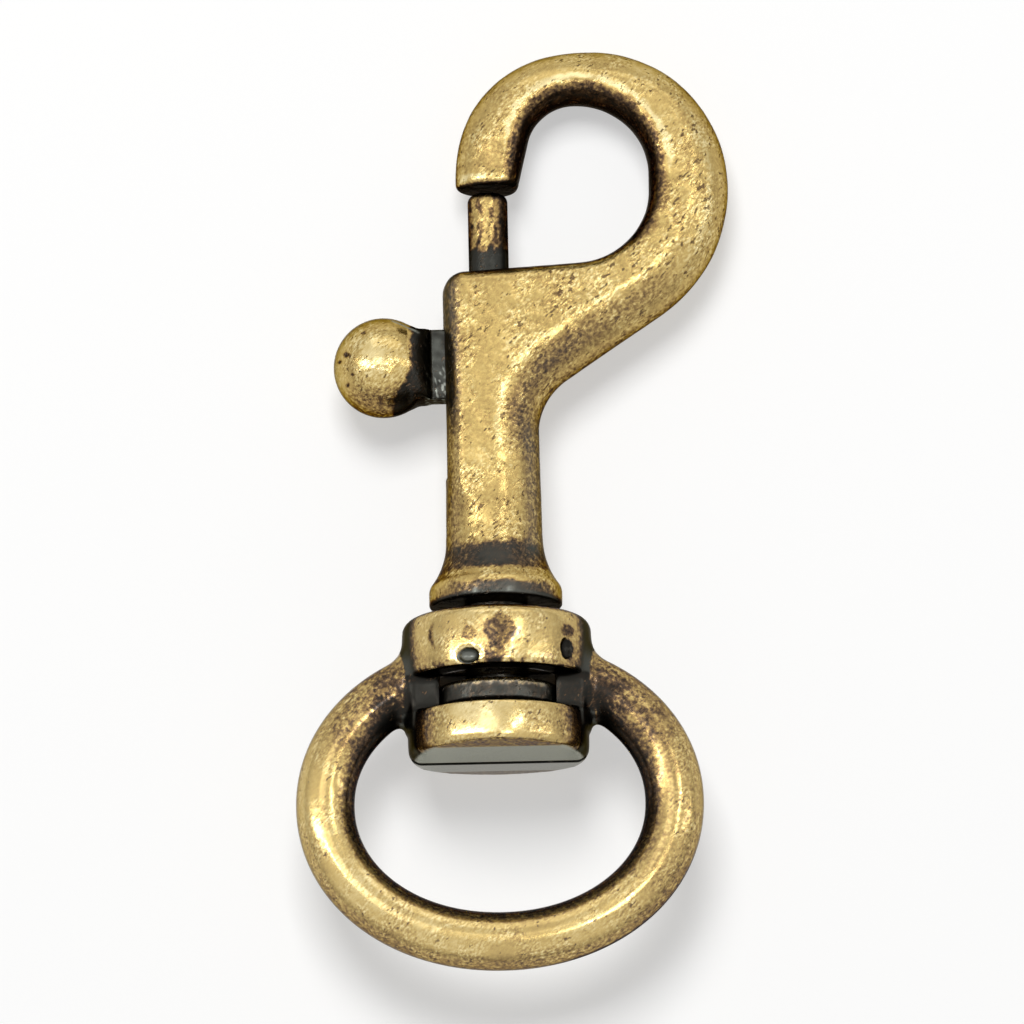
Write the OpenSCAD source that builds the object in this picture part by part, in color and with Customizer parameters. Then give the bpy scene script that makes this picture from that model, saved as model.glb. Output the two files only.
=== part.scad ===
// Swivel bolt snap: a cast hook with a sprung sliding bolt, a ball thumb knob and a swivelling strap eye.
// It lies face up. The origin is the centre of the strap eye, +Y runs along the swivel axis to the hook,
// +X is the side on which the hook bulges and +Z is up out of the flat of the hook.

/* [Strap eye] */
// Clear width of the ring, which is the strap's width
eye_inner_w = 20; // [18:0.5:26]
// Clear height of the ring
eye_inner_h = 15.2; // [14:0.2:20]
// Diameter of the ring's round section
eye_wire_d = 4.05; // [3.4:0.05:5]
// Fullness of the ring's oval: 2 is an ellipse and more is squarer
eye_power = 2.06; // [2:0.02:2.4]

/* [Swivel barrel] */
// Height of the lower band's ridge above the ring's centre
band_rise = 2.9; // [1:0.1:4]
// Diameter of the lower band
band_d = 12.5; // [11.5:0.1:13.5]
// Height of the lower band
band_h = 3.3; // [2.6:0.1:4.5]
// Mould draft of the lower band's underside, in degrees
band_draft = 4.5; // [0:0.5:8]
// Rounding of the lower band's lower edge
band_round = 0.9; // [0.3:0.1:1.2]
// Height of the window in which the stud's head turns
window_h = 2.45; // [2.25:0.05:4]
// Thickness of the posts beside the window, along Z
post_t = 4.4; // [3.5:0.1:6]
// Diameter of the collar
collar_d = 13.1; // [12:0.1:14.5]
// Height of the collar
collar_h = 4.25; // [3:0.05:6]
// Rounding of the collar's top edge
collar_round = 0.8; // [0.3:0.1:1.2]
// Rounding of the window's edges
window_round = 0.25; // [0.1:0.05:0.5]

/* [Swivel stud] */
// Diameter of the neck that turns in the collar
stud_neck_d = 4.4; // [3.6:0.1:5]
// Diameter of the head
stud_head_d = 8.6; // [7:0.1:8.8]
// Thickness of the head
stud_head_h = 1.6; // [1.2:0.1:1.8]
// Rounding of the head's edges
stud_head_round = 0.35; // [0.1:0.05:0.5]
// Length of the plug pressed into the bore
stud_plug_l = 4.6; // [3:0.1:6]
// Radial clearance of the neck in the collar
swivel_clear = 0.08; // [0.04:0.01:0.1]
// Clearance of the head from the posts
head_side_gap = 0.2; // [0.1:0.05:0.4]
// Play between the head and the collar
head_play = 0.5; // [0.3:0.05:0.7]
// Play between the collar and the hook's foot
foot_play = 0.95; // [0.3:0.05:0.98]
// Press of the plug in the bore, on the radius
plug_press = 0.01; // [0:0.005:0.02]

/* [Shank and foot] */
// Diameter of the shank, below the body
shank_d = 6.5; // [6:0.1:7.5]
// Diameter of the shank at the foot
shank_low_d = 6.8; // [6.4:0.1:7.8]
// Diameter of the foot's rim
foot_d = 9.2; // [8.6:0.1:10.5]
// Height of the foot's straight rim
foot_rim_h = 1; // [0.6:0.1:2]
// Rounding of the rim's lower edge
foot_edge_r = 0.25; // [0.1:0.05:0.4]
// Rounding of the rim's upper edge
foot_top_r = 0.9; // [0.5:0.1:1.1]
// Height of the hollow that draws the foot in to the shank
foot_hollow_h = 3.8; // [3:0.1:4.5]
// Length from the foot's underside to the body's top, at the bolt's axis
body_l = 23.75; // [22:0.1:30]
// Rounding of the left shoulder in outline
shoulder_r = 1.6; // [0.6:0.1:2]
// Half thickness of the body
body_half_t = 3.15; // [2.8:0.05:3.6]

/* [Hook] */
// Opening of the mouth, from the body's top to the tip
mouth_h = 5.75; // [5:0.05:7]
// Reach of the opening, from the bolt's axis to the right limb
reach = 11.15; // [10.5:0.05:14]
// Height of the opening above the body's top
opening_h = 11.75; // [11:0.05:14]
// Slope of the body's top edge towards the right limb, in degrees
saddle_slope = 3.5; // [0:0.5:6]
// Radius of the opening's lower right corner
opening_low_r = 5.3; // [4.6:0.1:5.8]
// Radius of the opening's upper right corner
opening_high_r = 5; // [4:0.1:5.2]
// Radius of the opening above the tip
opening_lead_r = 3.3; // [2.8:0.1:3.6]
// Width of the right limb
limb_w = 5.5; // [4.5:0.1:7]
// Width of the hook at its top
top_w = 3.65; // [3:0.1:5]
// Width of the tip
tip_w = 4.4; // [4:0.1:5.5]
// Half thickness of the hook
hook_half_t = 2.65; // [2.2:0.05:3]
// Half thickness of the tip
tip_half_t = 2.4; // [2:0.05:2.8]
// Depth of the crotch below the body's top
crotch_drop = 11.5; // [10.5:0.05:13]
// Radius of the crotch
crotch_r = 4.5; // [3.6:0.1:5.4]
// Angle of the horn's lower edge above the X axis
horn_angle = 34; // [30:1:38]
// Radius of the horn's outer bend
horn_r = 10.8; // [10:0.1:11.6]
// Rounding across the opening's edge
inner_round = 1.3; // [0.8:0.1:1.8]
// Rounding across the hook's outer edge
outer_round = 2.9; // [2:0.1:3.2]

/* [Gate bolt] */
// Diameter of the bolt
bolt_d = 2.76; // [2.4:0.02:3]
// Radial clearance of the bolt in its bore
bolt_clear = 0.07; // [0.03:0.01:0.1]
// Rounding of the bolt's upper end
bolt_nose_r = 0.6; // [0.2:0.1:1]
// Gap between the bolt and the tip
gate_gap = 0.3; // [0.1:0.05:0.4]
// Length of bolt below the knob's neck
bolt_tail = 1; // [0.5:0.1:2]
// Travel of the bolt
bolt_travel = 5.5; // [5:0.1:6]

/* [Thumb knob] */
// Diameter of the ball
knob_d = 6.9; // [6:0.1:8]
// Distance of the ball's centre from the body's side
knob_stand = 4.15; // [4:0.05:5]
// Distance of the ball's centre below the body's top
knob_drop = 6.65; // [6:0.05:7.5]
// Height of the flat neck along Y
neck_h = 5; // [3.6:0.1:5.4]
// Thickness of the flat neck along Z
neck_t = 2.2; // [1.8:0.1:2.4]
// Radius of the fillet between neck and ball
neck_fillet = 0.8; // [0.4:0.1:1.2]
// Clearance of the neck in the slot
slot_clear = 0.12; // [0.08:0.02:0.25]
// Diameter of the stem pressed into the bolt
stem_d = 1.6; // [1.2:0.1:1.8]
// Depth of the stem's hole past the bolt's axis
stem_depth = 0.6; // [0.3:0.1:0.8]
// Press of the stem in its hole, on the radius
stem_press = 0.01; // [0:0.005:0.02]

/* [Bolt spring] */
// Diameter of the spring's wire
spring_wire_d = 0.45; // [0.35:0.05:0.5]
// Outer diameter of the spring
spring_d = 2.5; // [2.2:0.1:2.6]
// Number of turns
spring_turns = 7; // [5:1:7]

/* [Hidden] */
$fn = 96;

cast_brass = "#c2a055";
dark_brass = "#6b604c";
steel = "#8b8b88";

// How far a cutter runs past the face that it cuts
over = 1;
// Half a turn, in degrees
half_turn = 180;

// Heights along the swivel axis, from the strap eye's centre upwards
band_top_y = band_rise + band_h;
collar_y = band_top_y + window_h;
collar_top_y = collar_y + collar_h;
foot_y = collar_top_y + foot_play;
stud_head_top_y = collar_y - head_play;
plug_top_y = foot_y + stud_plug_l;
body_top_y = foot_y + body_l;
tip_y = body_top_y + mouth_h;
opening_top_y = body_top_y + opening_h;
hook_top_y = opening_top_y + top_w;
crotch_y = body_top_y - crotch_drop;
knob_y = body_top_y - knob_drop;
bolt_top_y = tip_y - gate_gap;
bolt_low_y = knob_y - neck_h / 2 - bolt_tail;

// Radii and half widths
shank_r = shank_d / 2;
shank_low_r = shank_low_d / 2;
tip_half_w = tip_w / 2;
foot_r = foot_d / 2;
collar_r = collar_d / 2;
band_r = band_d / 2;
bolt_r = bolt_d / 2;
bore_r = bolt_r + bolt_clear;
outer_x = reach + limb_w;
knob_x = -(shank_r + knob_stand);

function unit(a) = [cos(a), sin(a)];
function norm_of(v) = v / norm(v);

// Points of an arc about c with half axes r, from angle a to angle b
// Power 2 is an ellipse and more is squarer
function arc(c, r, a, b, steps, power = 2) = [
    for (i = [0 : steps])
        let (t = a + (b - a) * i / steps, u = unit(t))
            c + [for (k = [0, 1]) r[k] * sign(u[k]) * pow(abs(u[k]), 2 / power)]
];

// Points of a straight line from p to q
function line(p, q, steps) = [for (i = [0 : steps]) p + (q - p) * i / steps];

// Joins stretches of a rail whose ends meet, leaving out each repeated point
function joined(stretches) = [
    for (i = [0 : len(stretches) - 1])
        for (j = [(i == 0 ? 0 : 1) : len(stretches[i]) - 1])
            stretches[i][j]
];

// Closed skin over a list of closed sections with the same number of points each, with both ends capped
module skin(sections) {
    count = len(sections[0]);
    last = len(sections) - 1;
    sides = [
        for (i = [0 : last - 1])
            for (j = [0 : count - 1])
                let (
                    a = i * count + j,
                    b = i * count + (j + 1) % count
                )
                    each [[a, b, b + count], [a, b + count, a + count]]
    ];
    caps = [
        [for (j = [count - 1 : -1 : 0]) j],
        [for (j = [0 : count - 1]) last * count + j]
    ];
    polyhedron(points = [for (s = sections) each s], faces = concat(sides, caps));
}

// Turns a profile drawn as [radius, height] about the swivel axis
module turned(profile) {
    rotate([-90, 0, 0])
        rotate_extrude()
            polygon(profile);
}

// Round bar along the swivel axis from height y
module bar(r, y, h) {
    translate([0, y, 0])
        rotate([-90, 0, 0])
            cylinder(r = r, h = h);
}

// Number of steps on each stretch of the hook's two rails
shank_steps = 6;
wall_steps = 8;
corner_steps = 5;
saddle_steps = 8;
low_steps = 12;
high_steps = 12;
lead_steps = 13;
horn_share = 4;

// Inner rail: left wall, shoulder, sloping top edge, then round the opening to the tip's right corner
lead_end = 167;
lead_line_steps = 3;
saddle_dir = -90 + saddle_slope;
low_c_x = reach - opening_low_r;
low_c = [low_c_x, body_top_y + low_c_x * tan(saddle_slope) + opening_low_r / cos(saddle_slope)];
high_c = [reach - opening_high_r, opening_top_y - opening_high_r];
lead_c = [high_c[0], opening_top_y - opening_lead_r];
shoulder_c_x = shoulder_r - shank_r;
shoulder_c = [shoulder_c_x, body_top_y + shoulder_c_x * tan(saddle_slope) - shoulder_r / cos(saddle_slope)];
inner_rail = joined([
    line([-shank_low_r, foot_y + foot_rim_h], [-shank_r, crotch_y], shank_steps),
    line([-shank_r, crotch_y], [-shank_r, shoulder_c[1]], wall_steps),
    arc(shoulder_c, [shoulder_r, shoulder_r], 180, 90 + saddle_slope, corner_steps),
    line(
        shoulder_c + shoulder_r * unit(90 + saddle_slope),
        low_c + opening_low_r * unit(saddle_dir),
        saddle_steps
    ),
    arc(low_c, [opening_low_r, opening_low_r], saddle_dir, 0, low_steps),
    arc(high_c, [opening_high_r, opening_high_r], 0, 90, high_steps),
    arc(lead_c, [opening_lead_r, opening_lead_r], 90, lead_end, lead_steps - lead_line_steps),
    line(lead_c + opening_lead_r * unit(lead_end), [tip_half_w, tip_y], lead_line_steps)
]);

// Outer rail: right side of the shank, crotch, horn, then round the hook to the tip's left corner
crotch_c = [shank_r + crotch_r, crotch_y];
horn_start = crotch_c + crotch_r * unit(90 + horn_angle);
horn_normal = unit(90 + horn_angle);
horn_c_x = outer_x - horn_r;
horn_run = (horn_c_x - horn_start[0] - horn_r * horn_normal[0]) / cos(horn_angle);
horn_c = horn_start + horn_run * unit(horn_angle) + horn_r * horn_normal;
top_x = (outer_x - tip_half_w) / 2;
crown_power = 2;
tip_power = 2.25;
outer_rail = joined([
    line([shank_low_r, foot_y + foot_rim_h], [shank_r, crotch_y], shank_steps),
    arc(crotch_c, [crotch_r, crotch_r], 180, 90 + horn_angle, wall_steps + corner_steps),
    line(horn_start, horn_start + horn_run * unit(horn_angle), saddle_steps + horn_share),
    arc(horn_c, [horn_r, horn_r], horn_angle - 90, 0, low_steps - horn_share),
    arc([top_x, horn_c[1]], [outer_x - top_x, hook_top_y - horn_c[1]], 0, 90, high_steps, crown_power),
    arc([top_x, tip_y], [top_x + tip_half_w, hook_top_y - tip_y], 90, 180, lead_steps, tip_power)
]);

// Smooth share, from 0 at a to 1 at b, of the way from one section to the next along the rails
function ramp(x, a, b) = let (t = max(0, min(1, (x - a) / (b - a)))) t * t * (3 - 2 * t);
round_station = 2;
slot_station = 4;
shank_station = shank_steps;
body_station = shank_station + wall_steps;
horn_station = body_station + corner_steps + saddle_steps;
limb_station = horn_station + low_steps;
tip_station = limb_station + high_steps + lead_steps;

// One section of the hook: upright between its two rails, flat on top, rounded more at the outer rail
// It is round at the foot, and its left wall is upright from the slot on
round_steps = 6;
flat_share = 0.04;
function hook_section(i) =
    let (
        p = inner_rail[i],
        q = outer_rail[i],
        w = norm(q - p),
        dir = (q - p) / w,
        to_wall = ramp(i, round_station, slot_station),
        to_body = ramp(i, shank_station, body_station),
        to_hook = ramp(i, body_station, limb_station),
        to_tip = ramp(i, limb_station, tip_station),
        half_t = (i < shank_station ? w / 2 : shank_r)
            + (body_half_t - shank_r) * to_body
            + (hook_half_t - body_half_t) * to_hook
            + (tip_half_t - hook_half_t) * to_tip,
        full_round = w * (1 - flat_share) / 2,
        in_round = full_round + (min(inner_round, full_round) - full_round) * to_wall,
        out_round = min(outer_round, w * (1 - flat_share) - in_round),
        out_blend = full_round + (out_round - full_round) * to_body,
        lower = [
            for (k = [0 : round_steps])
                let (a = 90 * k / round_steps) [in_round * (1 - cos(a)), -half_t * sin(a)],
            for (k = [round_steps : -1 : 0])
                let (a = 90 * k / round_steps) [w - out_blend * (1 - cos(a)), -half_t * sin(a)]
        ],
        upper = [for (k = [len(lower) - 2 : -1 : 1]) [lower[k][0], -lower[k][1]]]
    )
        [for (s = concat(lower, upper)) [p[0] + dir[0] * s[0], p[1] + dir[1] * s[0], s[1]]];

// Foot: straight rim with a rounded top, and a hollow curve that touches it and ends just inside the shank
foot_inset = 0.1;
foot_draw = foot_r - shank_low_r + foot_inset;
foot_arcs_r = (pow(foot_hollow_h, 2) + pow(foot_draw, 2)) / (2 * foot_draw);
foot_turn = acos(1 - foot_draw / foot_arcs_r);
foot_hollow_r = foot_arcs_r - foot_top_r;
foot_top_c = [foot_r - foot_top_r, foot_y + foot_rim_h];
foot_hollow_c = foot_top_c + foot_arcs_r * unit(foot_turn);
foot_profile = joined([
    [[0, foot_y], [foot_r - foot_edge_r, foot_y]],
    arc([foot_r - foot_edge_r, foot_y + foot_edge_r], [foot_edge_r, foot_edge_r], -90, 0, 6),
    line([foot_r, foot_y + foot_edge_r], [foot_r, foot_y + foot_rim_h], 1),
    arc(foot_top_c, [foot_top_r, foot_top_r], 0, foot_turn, 6),
    arc(foot_hollow_c, [foot_hollow_r, foot_hollow_r], half_turn + foot_turn, half_turn, 8),
    [[shank_low_r - foot_inset, foot_hollow_c[1]], [0, foot_hollow_c[1]]]
]);

slot_low_y = knob_y - neck_h / 2 - bolt_travel - slot_clear;
slot_h = neck_h + bolt_travel + 2 * slot_clear;
slot_t = neck_t + 2 * slot_clear;

// Casting of shank, body and hook, bored along its axis and slotted on the left for the knob's neck
module hook_body() {
    color(cast_brass)
        difference() {
            union() {
                skin([for (i = [0 : len(inner_rail) - 1]) hook_section(i)]);
                turned(foot_profile);
            }
            bar(bore_r, foot_y - over, body_l + 3 * over);
            translate([-shank_r - over, slot_low_y, -slot_t / 2])
                cube([shank_r + over, slot_h, slot_t]);
        }
}

// Rod that closes the mouth, with a rounded nose and a cross hole for the knob's stem
module gate_bolt() {
    color(dark_brass)
        difference() {
            turned(concat(
                [[0, bolt_low_y], [bolt_r, bolt_low_y]],
                arc([bolt_r - bolt_nose_r, bolt_top_y - bolt_nose_r], [bolt_nose_r, bolt_nose_r], 0, 90, 8),
                [[0, bolt_top_y]]
            ));
            translate([-bolt_r - over, knob_y, 0])
                rotate([0, 90, 0])
                    cylinder(d = stem_d, h = bolt_r + over + stem_depth);
        }
}

// Flat neck in outline, from the ball's centre towards the bolt, with hollow fillets that start in the ball
knob_r = knob_d / 2;
neck_half_h = neck_h / 2;
neck_end_x = -(bore_r + slot_clear);
fillet_sink = 0.06;
fillet_c = [
    sqrt(pow(knob_r - fillet_sink + neck_fillet, 2) - pow(neck_half_h + neck_fillet, 2)),
    neck_half_h + neck_fillet
];
fillet_upper = arc(fillet_c, [neck_fillet, neck_fillet], half_turn + atan2(fillet_c[1], fillet_c[0]), 270, 6);
neck_upper = concat([[0, neck_half_h]], fillet_upper, [[neck_end_x - knob_x, neck_half_h]]);
neck_outline = concat(
    [for (p = neck_upper) [p[0], -p[1]]],
    [for (i = [len(neck_upper) - 1 : -1 : 0]) neck_upper[i]]
);

// Ball on a flat neck that runs in the slot, with a stem pressed into the bolt
module thumb_knob() {
    color(cast_brass)
        union() {
            translate([knob_x, knob_y, 0])
                rotate([0, 90, 0])
                    sphere(r = knob_r);
            translate([knob_x, knob_y, -neck_t / 2])
                linear_extrude(neck_t)
                    polygon(neck_outline);
            translate([neck_end_x - over, knob_y, 0])
                rotate([0, 90, 0])
                    cylinder(r = stem_d / 2 + stem_press, h = over + stem_depth - neck_end_x);
        }
}

// Compression coil between the stud's plug and the bolt's lower end
spring_coil_r = (spring_d - spring_wire_d) / 2;
spring_seat = 0.02;
spring_low_y = plug_top_y + spring_seat + spring_wire_d / 2;
spring_high_y = bolt_low_y - spring_seat - spring_wire_d / 2;
spring_steps = 14;
spring_sides = 8;
module bolt_spring() {
    color(steel)
        skin([
            for (i = [0 : spring_turns * spring_steps])
                let (
                    t = i / (spring_turns * spring_steps),
                    turn = 360 * i / spring_steps,
                    y = spring_low_y + (spring_high_y - spring_low_y) * t
                )
                    [
                        for (k = [0 : spring_sides - 1])
                            let (
                                a = -360 * k / spring_sides,
                                r = spring_coil_r + spring_wire_d / 2 * cos(a)
                            )
                                [r * sin(turn), y + spring_wire_d / 2 * sin(a), r * cos(turn)]
                    ]
        ]);
}

// Headed pin: the head turns in the window, the neck in the collar, and the plug closes the bore
module swivel_stud() {
    head_r = stud_head_d / 2;
    neck_r = stud_neck_d / 2;
    plug_r = bore_r + plug_press;
    head_low_y = stud_head_top_y - stud_head_h;
    round = [stud_head_round, stud_head_round];
    color(dark_brass)
        turned(concat(
            [[0, head_low_y]],
            arc([head_r - stud_head_round, head_low_y + stud_head_round], round, -90, 0, 6),
            arc([head_r - stud_head_round, stud_head_top_y - stud_head_round], round, 0, 90, 6),
            [[neck_r, stud_head_top_y], [neck_r, foot_y]],
            [[plug_r, foot_y], [plug_r, plug_top_y], [0, plug_top_y]]
        ));
}

// Oval ring of round bar, open at the top where its two arms run into the barrel's posts
ring_half = [eye_inner_w / 2 + eye_wire_d / 2, eye_inner_h / 2 + eye_wire_d / 2];
window_r = stud_head_d / 2 + head_side_gap;
post_x = (window_r + band_r) / 2;
ring_root = acos(pow(post_x / ring_half[0], eye_power / 2));
ring_steps = 64;
ring_sides = 20;
module ring() {
    path = arc([0, 0], ring_half, ring_root, -half_turn - ring_root, ring_steps, eye_power);
    skin([
        for (i = [0 : ring_steps])
            let (
                along = norm_of(path[min(i + 1, ring_steps)] - path[max(i - 1, 0)]),
                out = [-along[1], along[0]]
            )
                [
                    for (k = [0 : ring_sides - 1])
                        let (
                            a = -360 * k / ring_sides,
                            p = path[i] + out * eye_wire_d / 2 * cos(a)
                        )
                            [p[0], p[1], eye_wire_d / 2 * sin(a)]
                ]
    ]);
}

// Lower band, its underside drafted to a ridge along X, its lower edge rounded
module lower_band() {
    difference() {
        turned(concat(
            [[0, band_rise]],
            arc([band_r - band_round, band_rise + band_round], [band_round, band_round], -90, 0, 8),
            arc([band_r - window_round, band_top_y - window_round], [window_round, window_round], 0, 90, 4),
            [[0, band_top_y]]
        ));
        for (side = [0, 1])
            mirror([0, 0, side])
                translate([-band_r - over, band_rise, 0])
                    rotate([-band_draft, 0, 0])
                        translate([0, -band_h, 0])
                            cube([band_d + 2 * over, band_h, band_d]);
    }
}

// Collar round the stud's neck
module collar() {
    turned(concat(
        [[0, collar_y]],
        arc([collar_r - window_round, collar_y + window_round], [window_round, window_round], -90, 0, 4),
        arc([collar_r - collar_round, collar_top_y - collar_round], [collar_round, collar_round], 0, 90, 8),
        [[0, collar_top_y]]
    ));
}

// Casting of ring and barrel: the stud's head sits in the window between the two posts
module swivel_eye() {
    color(cast_brass)
        difference() {
            union() {
                difference() {
                    union() {
                        ring();
                        intersection() {
                            bar(band_r, band_top_y - over, window_h + 2 * over);
                            translate([-band_r, band_top_y - over, -post_t / 2])
                                cube([band_d, window_h + 2 * over, post_t]);
                        }
                    }
                    bar(window_r, band_top_y - over, window_h + 2 * over);
                }
                lower_band();
                collar();
            }
            bar(stud_neck_d / 2 + swivel_clear, collar_y - over, collar_h + 2 * over);
        }
}

hook_body();
gate_bolt();
thumb_knob();
bolt_spring();
swivel_stud();
swivel_eye();
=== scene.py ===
import math

import bpy
import numpy as np
import openvdb
from mathutils import Matrix, Vector


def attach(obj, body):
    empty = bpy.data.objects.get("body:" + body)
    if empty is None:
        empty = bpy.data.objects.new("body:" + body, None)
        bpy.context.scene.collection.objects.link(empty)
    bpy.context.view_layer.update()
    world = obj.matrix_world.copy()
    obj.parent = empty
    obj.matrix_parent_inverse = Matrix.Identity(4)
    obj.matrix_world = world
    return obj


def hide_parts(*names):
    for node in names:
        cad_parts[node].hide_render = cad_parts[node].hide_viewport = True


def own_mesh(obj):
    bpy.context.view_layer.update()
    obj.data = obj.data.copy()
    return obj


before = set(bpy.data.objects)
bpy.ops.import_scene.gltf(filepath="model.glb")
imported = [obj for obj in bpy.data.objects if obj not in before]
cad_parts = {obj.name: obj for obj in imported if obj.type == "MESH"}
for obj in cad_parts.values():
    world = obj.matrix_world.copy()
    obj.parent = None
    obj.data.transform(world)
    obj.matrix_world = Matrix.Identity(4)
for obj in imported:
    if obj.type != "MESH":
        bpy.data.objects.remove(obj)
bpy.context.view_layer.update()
mm = 0.001  # the shapes below are worked out in mm, the scene is in metres
waveCount = 24  # sine waves in a ripple
poleR = 0.05  # mm, first and last ring of a turned piece, closed by a fan
past = 1  # mm by which a cutter stands clear of what it cuts
cutCrease = math.radians(40)  # edges of a cut piece that turn by more than this stay hard
turnedCrease = math.radians(50)  # the same for turned pieces and the knob
print("frame loaded:", sorted(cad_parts))


# helpers

def linear(hexColour):  # sRGB hex to linear RGBA
    parts = np.array([int(hexColour[i:i + 2], 16) for i in (1, 3, 5)]) / 255
    values = np.where(parts <= 0.04045, parts / 12.92, ((parts + 0.055) / 1.055) ** 2.4)
    return (*values.tolist(), 1.0)


def eased(x, low, high):  # 0 below low, 1 above high, a smooth step between
    t = np.clip((x - low) / (high - low), 0, 1)
    return t * t * (3 - 2 * t)


def bump(x, centre, width):  # bell curve, 1 at its centre
    return np.exp(-((x - centre) / width) ** 2)


def ripple(points, size, seed):  # sine waves in seeded directions, wavelength near size, about -1 to 1
    rng = np.random.default_rng(seed)
    waves = rng.normal(size=(3, waveCount))
    waves *= rng.uniform(0.6, 1.6, waveCount) * 2 * np.pi / size / np.linalg.norm(waves, axis=0)
    total = np.sin(points @ waves + rng.uniform(0, 2 * np.pi, waveCount)).sum(axis=-1)
    return total / 7  # about two standard deviations of the sum


def meshObject(name, points, faces):  # points in mm, faces are rows of vertex numbers
    mesh = bpy.data.meshes.new(name)
    mesh.from_pydata((points * mm).tolist(), [], faces)
    mesh.validate()
    mesh.shade_smooth()
    obj = bpy.data.objects.new(name, mesh)
    bpy.context.collection.objects.link(obj)
    return obj


def ringFaces(rows, columns):  # quads between closed rings, and a fan on each end ring
    start = np.arange(rows - 1)[:, None] * columns
    column = np.arange(columns)[None, :]
    following = (column + 1) % columns
    quads = np.stack([start + column, start + following,
                      start + columns + following, start + columns + column], axis=-1).reshape(-1, 4)
    ring = np.arange(columns)
    beside = np.roll(ring, -1)
    last = (rows - 1) * columns
    lowPole, highPole = np.full(columns, rows * columns), np.full(columns, rows * columns + 1)
    lowFan = np.stack([beside, ring, lowPole], axis=-1)
    highFan = np.stack([last + ring, last + beside, highPole], axis=-1)
    return quads.tolist() + lowFan.tolist() + highFan.tolist()


def ringSkin(name, rings):  # closed skin over rings (rows, columns, 3), each end closed at its middle
    rows, columns, _ = rings.shape
    points = np.concatenate([rings.reshape(-1, 3), rings[:1].mean(axis=1), rings[-1:].mean(axis=1)])
    faces = ringFaces(rows, columns)
    first = np.array(faces[:(rows - 1) * columns])
    a, b, c, d = (points[first[:, k]] for k in range(4))
    volume = (a * np.cross(b, c)).sum() + (a * np.cross(c, d)).sum()
    if volume < 0:  # rings that run the other way round
        faces = [face[::-1] for face in faces]
    return meshObject(name, points, faces)


def turned(name, profile, columns):  # profile of [radius, height] rows, turned about the Y axis
    turn = np.linspace(0, 2 * np.pi, columns, endpoint=False)
    radius, height = profile[:, 0, None], profile[:, 1, None]
    rings = np.stack([radius * np.cos(turn), height + 0 * turn, radius * np.sin(turn)], axis=-1)
    return ringSkin(name, rings)


def arcPoints(centre, radii, start, end, steps, power=2):  # arc in degrees, power 2 is an ellipse
    t = np.radians(np.linspace(start, end, steps + 1))
    unit = np.stack([np.cos(t), np.sin(t)], axis=1)
    return np.array(centre) + np.array(radii) * np.sign(unit) * np.abs(unit) ** (2 / power)


def linePoints(start, end, steps):  # even steps from start to end
    share = np.linspace(0, 1, steps + 1)[:, None]
    return np.array(start) + (np.array(end) - np.array(start)) * share


def joined(*stretches):  # stretches whose ends meet, each repeated point left out
    return np.concatenate([stretches[0]] + [stretch[1:] for stretch in stretches[1:]])


def distanceTo(points, path, batch=3000):  # least distance from points (n, 2) to a polyline, in batches
    a = path[:-1]
    run = path[1:] - a
    length = np.maximum((run * run).sum(axis=1), 1e-12)
    least = []
    for part in np.array_split(points, len(points) // batch + 1):
        offset = part[:, None] - a
        share = np.clip((offset * run).sum(axis=2) / length, 0, 1)
        least.append(np.sqrt(((offset - share[..., None] * run) ** 2).sum(axis=2)).min(axis=1))
    return np.concatenate(least)


def vertexArrays(obj):  # vertex places in mm and vertex normals
    mesh = obj.data
    places, normals = np.empty((2, len(mesh.vertices) * 3))
    mesh.vertices.foreach_get("co", places)
    mesh.vertex_normals.foreach_get("vector", normals)
    return places.reshape(-1, 3) / mm, normals.reshape(-1, 3)


def weighed(amounts, places):  # sum of the places, each times its amount
    return sum(amount * places[key] for key, amount in amounts.items())


def paint(obj, name, values):  # one number a vertex, which the material reads
    layer = obj.data.attributes.new(name, "FLOAT", "POINT")
    layer.data.foreach_set("value", np.clip(values, -1, 1).astype(np.float32))


def cutAway(obj, *cutters):  # takes the cutters' solids out of obj
    for cutter in cutters:
        modifier = obj.modifiers.new("cut", "BOOLEAN")
        modifier.object = cutter
        modifier.operation = "DIFFERENCE"
        modifier.solver = "EXACT"
    graph = bpy.context.evaluated_depsgraph_get()
    solid = bpy.data.meshes.new_from_object(obj.evaluated_get(graph))
    obj.modifiers.clear()
    old = obj.data
    obj.data = solid
    bpy.data.meshes.remove(old)
    for cutter in cutters:
        bpy.data.objects.remove(cutter)
    solid.name = obj.name
    solid.shade_smooth()
    solid.set_sharp_from_angle(angle=cutCrease)


def roundBar(name, radius, low, high, columns):  # plain bar along Y, used as a cutter
    return turned(name, np.array([[radius, low], [radius, high]]), columns)


def block(name, low, high):  # plain block, used as a cutter
    ends = list(zip(low, high))
    corners = np.array([[x, y, z] for x in ends[0] for y in ends[1] for z in ends[2]])
    faces = [(0, 1, 3, 2), (4, 6, 7, 5), (0, 4, 5, 1), (2, 3, 7, 6), (0, 2, 6, 4), (1, 5, 7, 3)]
    return meshObject(name, corners, faces)


def handOver(obj, material, body, node):  # the piece takes the CAD node's place
    obj.data.materials.clear()
    obj.data.materials.append(material)
    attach(obj, body)
    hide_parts(node)
    print(obj.name, "done:", len(obj.data.vertices), "vertices")


def emptyTree(owner):  # node tree of a material or a world, with nothing in it
    owner.use_nodes = True
    owner.node_tree.nodes.clear()
    return owner.node_tree


def addNode(tree, kind, inputs=None, **settings):  # adds a node, sets it, and links or fills its inputs
    node = tree.nodes.new(kind)
    for key, value in settings.items():
        setattr(node, key, value)
    for key, value in (inputs or {}).items():
        if isinstance(value, bpy.types.NodeSocket):
            tree.links.new(value, node.inputs[key])
        else:
            node.inputs[key].default_value = value
    return node


# zinc casting, brass plated, blackened and tumbled: satin gold with small glints and dark specks where
# it is rubbed, brown to black in the hollows, grey where the plating is scraped or thin, with painted shade
# and painted highlights laid over it

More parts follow.
